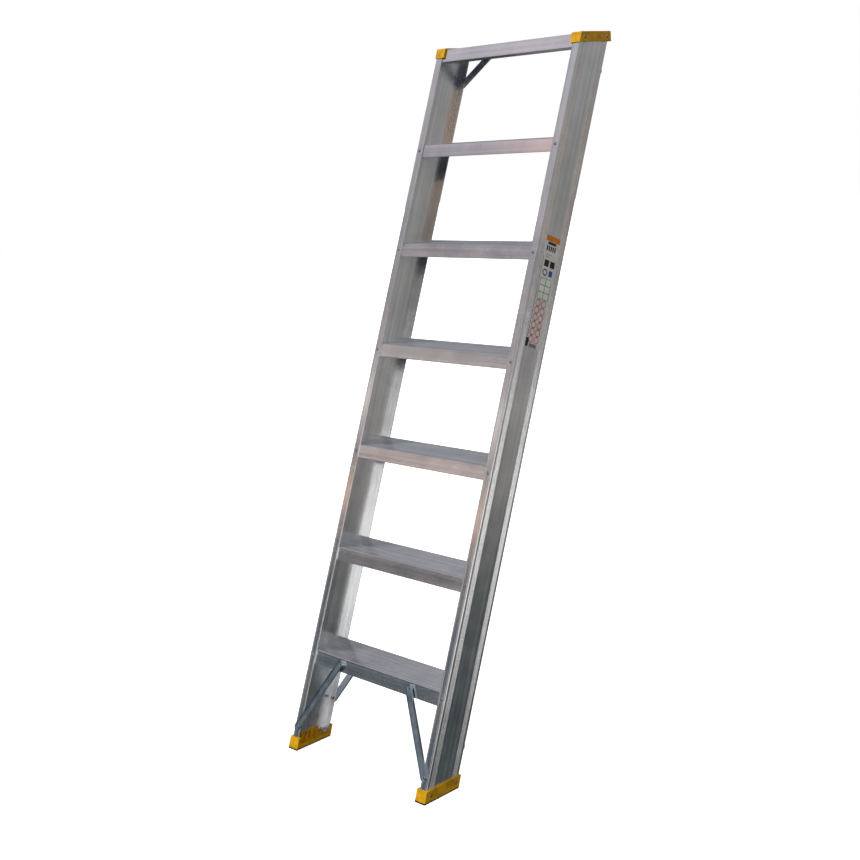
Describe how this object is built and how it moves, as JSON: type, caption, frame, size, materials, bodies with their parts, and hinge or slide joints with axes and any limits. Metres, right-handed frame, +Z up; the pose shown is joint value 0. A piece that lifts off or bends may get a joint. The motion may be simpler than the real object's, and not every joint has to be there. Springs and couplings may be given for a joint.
{
  "type": "step ladder",
  "caption": "Leaning single-section aluminium step ladder with level treads riveted between channel stiles, corner braces, and plastic feet and end caps.",
  "frame": {"origin": "on the floor, at the middle of the ladder's plan outline", "axes": "+X to the climber's right, +Y from the climber's side to the back, +Z up; the stiles lean back by 22 degrees and the treads are level"},
  "size_m": [0.566, 0.9102, 1.9454],
  "materials": {
    "mill_aluminium": "mill finish, lengthwise extrusion lines",
    "rivet_aluminium": "bright",
    "rivet_steel": "bright zinc",
    "zinc_steel": "zinc plated, satin",
    "yellow_plastic": "satin moulded",
    "black_rubber": "matt",
    "label_film": "printed film"
  },
  "bodies": {
    "root": {"stile_left": "mill_aluminium", "foot_left": "yellow_plastic", "foot_sole_left": "black_rubber", "foot_rivets_left": "rivet_steel", "top_cap_left": "yellow_plastic", "cap_rivets_left": "rivet_steel", "front_brace_left": "zinc_steel", "rear_brace_left": "zinc_steel", "top_brace_left": "zinc_steel", "brace_rivets_left": "rivet_steel", "front_rivets_left": "rivet_aluminium", "rear_rivets_left": "rivet_aluminium", "stile_right": "mill_aluminium", "foot_right": "yellow_plastic", "foot_sole_right": "black_rubber", "foot_rivets_right": "rivet_steel", "top_cap_right": "yellow_plastic", "cap_rivets_right": "rivet_steel", "front_brace_right": "zinc_steel", "rear_brace_right": "zinc_steel", "top_brace_right": "zinc_steel", "brace_rivets_right": "rivet_steel", "front_rivets_right": "rivet_aluminium", "rear_rivets_right": "rivet_aluminium", "tread_1": "mill_aluminium", "tread_2": "mill_aluminium", "tread_3": "mill_aluminium", "tread_4": "mill_aluminium", "tread_5": "mill_aluminium", "tread_6": "mill_aluminium", "tread_7": "mill_aluminium", "label_right": "label_film"}
  },
  "joints": []
}
